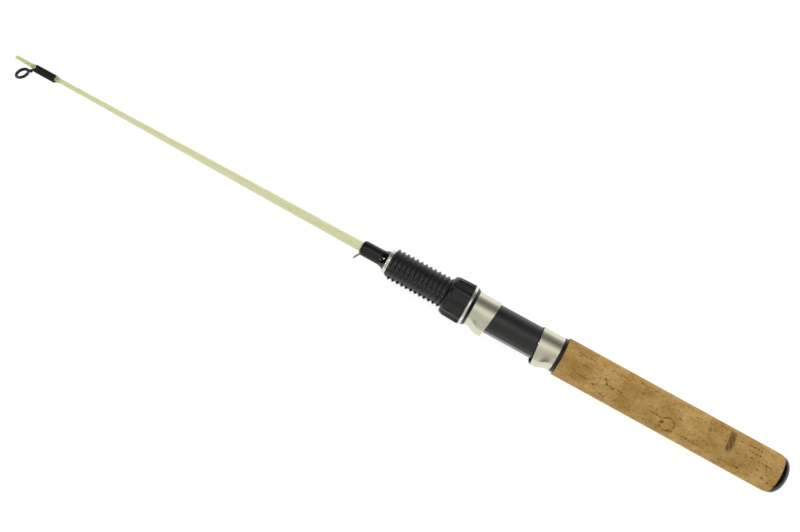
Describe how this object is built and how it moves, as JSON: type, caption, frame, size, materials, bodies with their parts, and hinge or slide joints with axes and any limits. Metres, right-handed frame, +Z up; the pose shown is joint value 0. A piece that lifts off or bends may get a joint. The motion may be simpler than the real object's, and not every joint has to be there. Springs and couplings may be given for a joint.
{
  "type": "ice fishing rod",
  "caption": "Short ice fishing rod with a solid tapered glass blank, tip guide, hook keeper, threaded reel seat with sliding hood and lock nut, and cork grip.",
  "frame": {"origin": "on the rod's axis at the middle of the reel seat, midway between the mouths of the two hoods", "axes": "+X along the rod towards its tip, +Y the side that the reel, guide and keeper are on, +Z up with the rod lying on its side"},
  "size_m": [0.55, 0.0274, 0.027],
  "materials": {
    "glass_blank": "translucent fibreglass, gloss",
    "guide_black": "satin black plating",
    "guide_ring_black": "polished black ceramic",
    "wrap_thread": "black thread under gloss coat",
    "clear_coat": "clear gloss coat",
    "keeper_steel": "bright wire",
    "trim_steel": "polished",
    "seat_plastic": "satin black",
    "nut_plastic": "satin black, knurled lands",
    "arbor_foam": "rigid foam",
    "hood_steel": "polished stainless steel",
    "cork": "fine sanded cork",
    "cap_plastic": "gloss black"
  },
  "bodies": {
    "rod": {"blank": "glass_blank", "tip_guide_frame": "guide_black", "tip_guide_ring": "guide_ring_black", "tip_guide_wrap": "wrap_thread", "tip_guide_epoxy": "clear_coat", "keeper_wire": "keeper_steel", "keeper_wrap": "wrap_thread", "keeper_epoxy": "clear_coat", "front_trim_ring": "trim_steel", "seat_body": "seat_plastic", "seat_arbor_front": "arbor_foam", "seat_arbor_middle": "arbor_foam", "seat_arbor_rear": "arbor_foam", "fixed_hood_shell": "hood_steel", "fixed_hood_liner": "seat_plastic", "rear_collar": "seat_plastic", "cork_ring_01": "cork", "cork_ring_02": "cork", "cork_ring_03": "cork", "cork_ring_04": "cork", "cork_ring_05": "cork", "cork_ring_06": "cork", "cork_ring_07": "cork", "cork_ring_08": "cork", "cork_ring_09": "cork", "cork_ring_10": "cork", "cork_ring_11": "cork", "cork_ring_12": "cork", "cork_ring_13": "cork", "cork_ring_14": "cork", "cork_ring_15": "cork", "cork_ring_16": "cork", "butt_cap": "cap_plastic"},
    "sliding_hood": {"moving_hood_shell": "hood_steel", "moving_hood_liner": "seat_plastic"},
    "nut": {"lock_nut": "nut_plastic", "nut_trim_ring": "trim_steel"}
  },
  "joints": [
    {"name": "hood_slide", "type": "slide", "parent": "rod", "child": "sliding_hood", "axis": [1, 0, 0], "range_m": [-0.006, 0.036]},
    {"name": "nut_spin", "type": "hinge", "parent": "sliding_hood", "child": "nut", "pos_m": [0.04, 0, 0], "axis": [1, 0, 0], "range_deg": [-681, 4077]}
  ],
  "couplings": [
    {"joint": "nut_spin", "follows": "hood_slide", "rad_per_m": 1975.8}
  ]
}
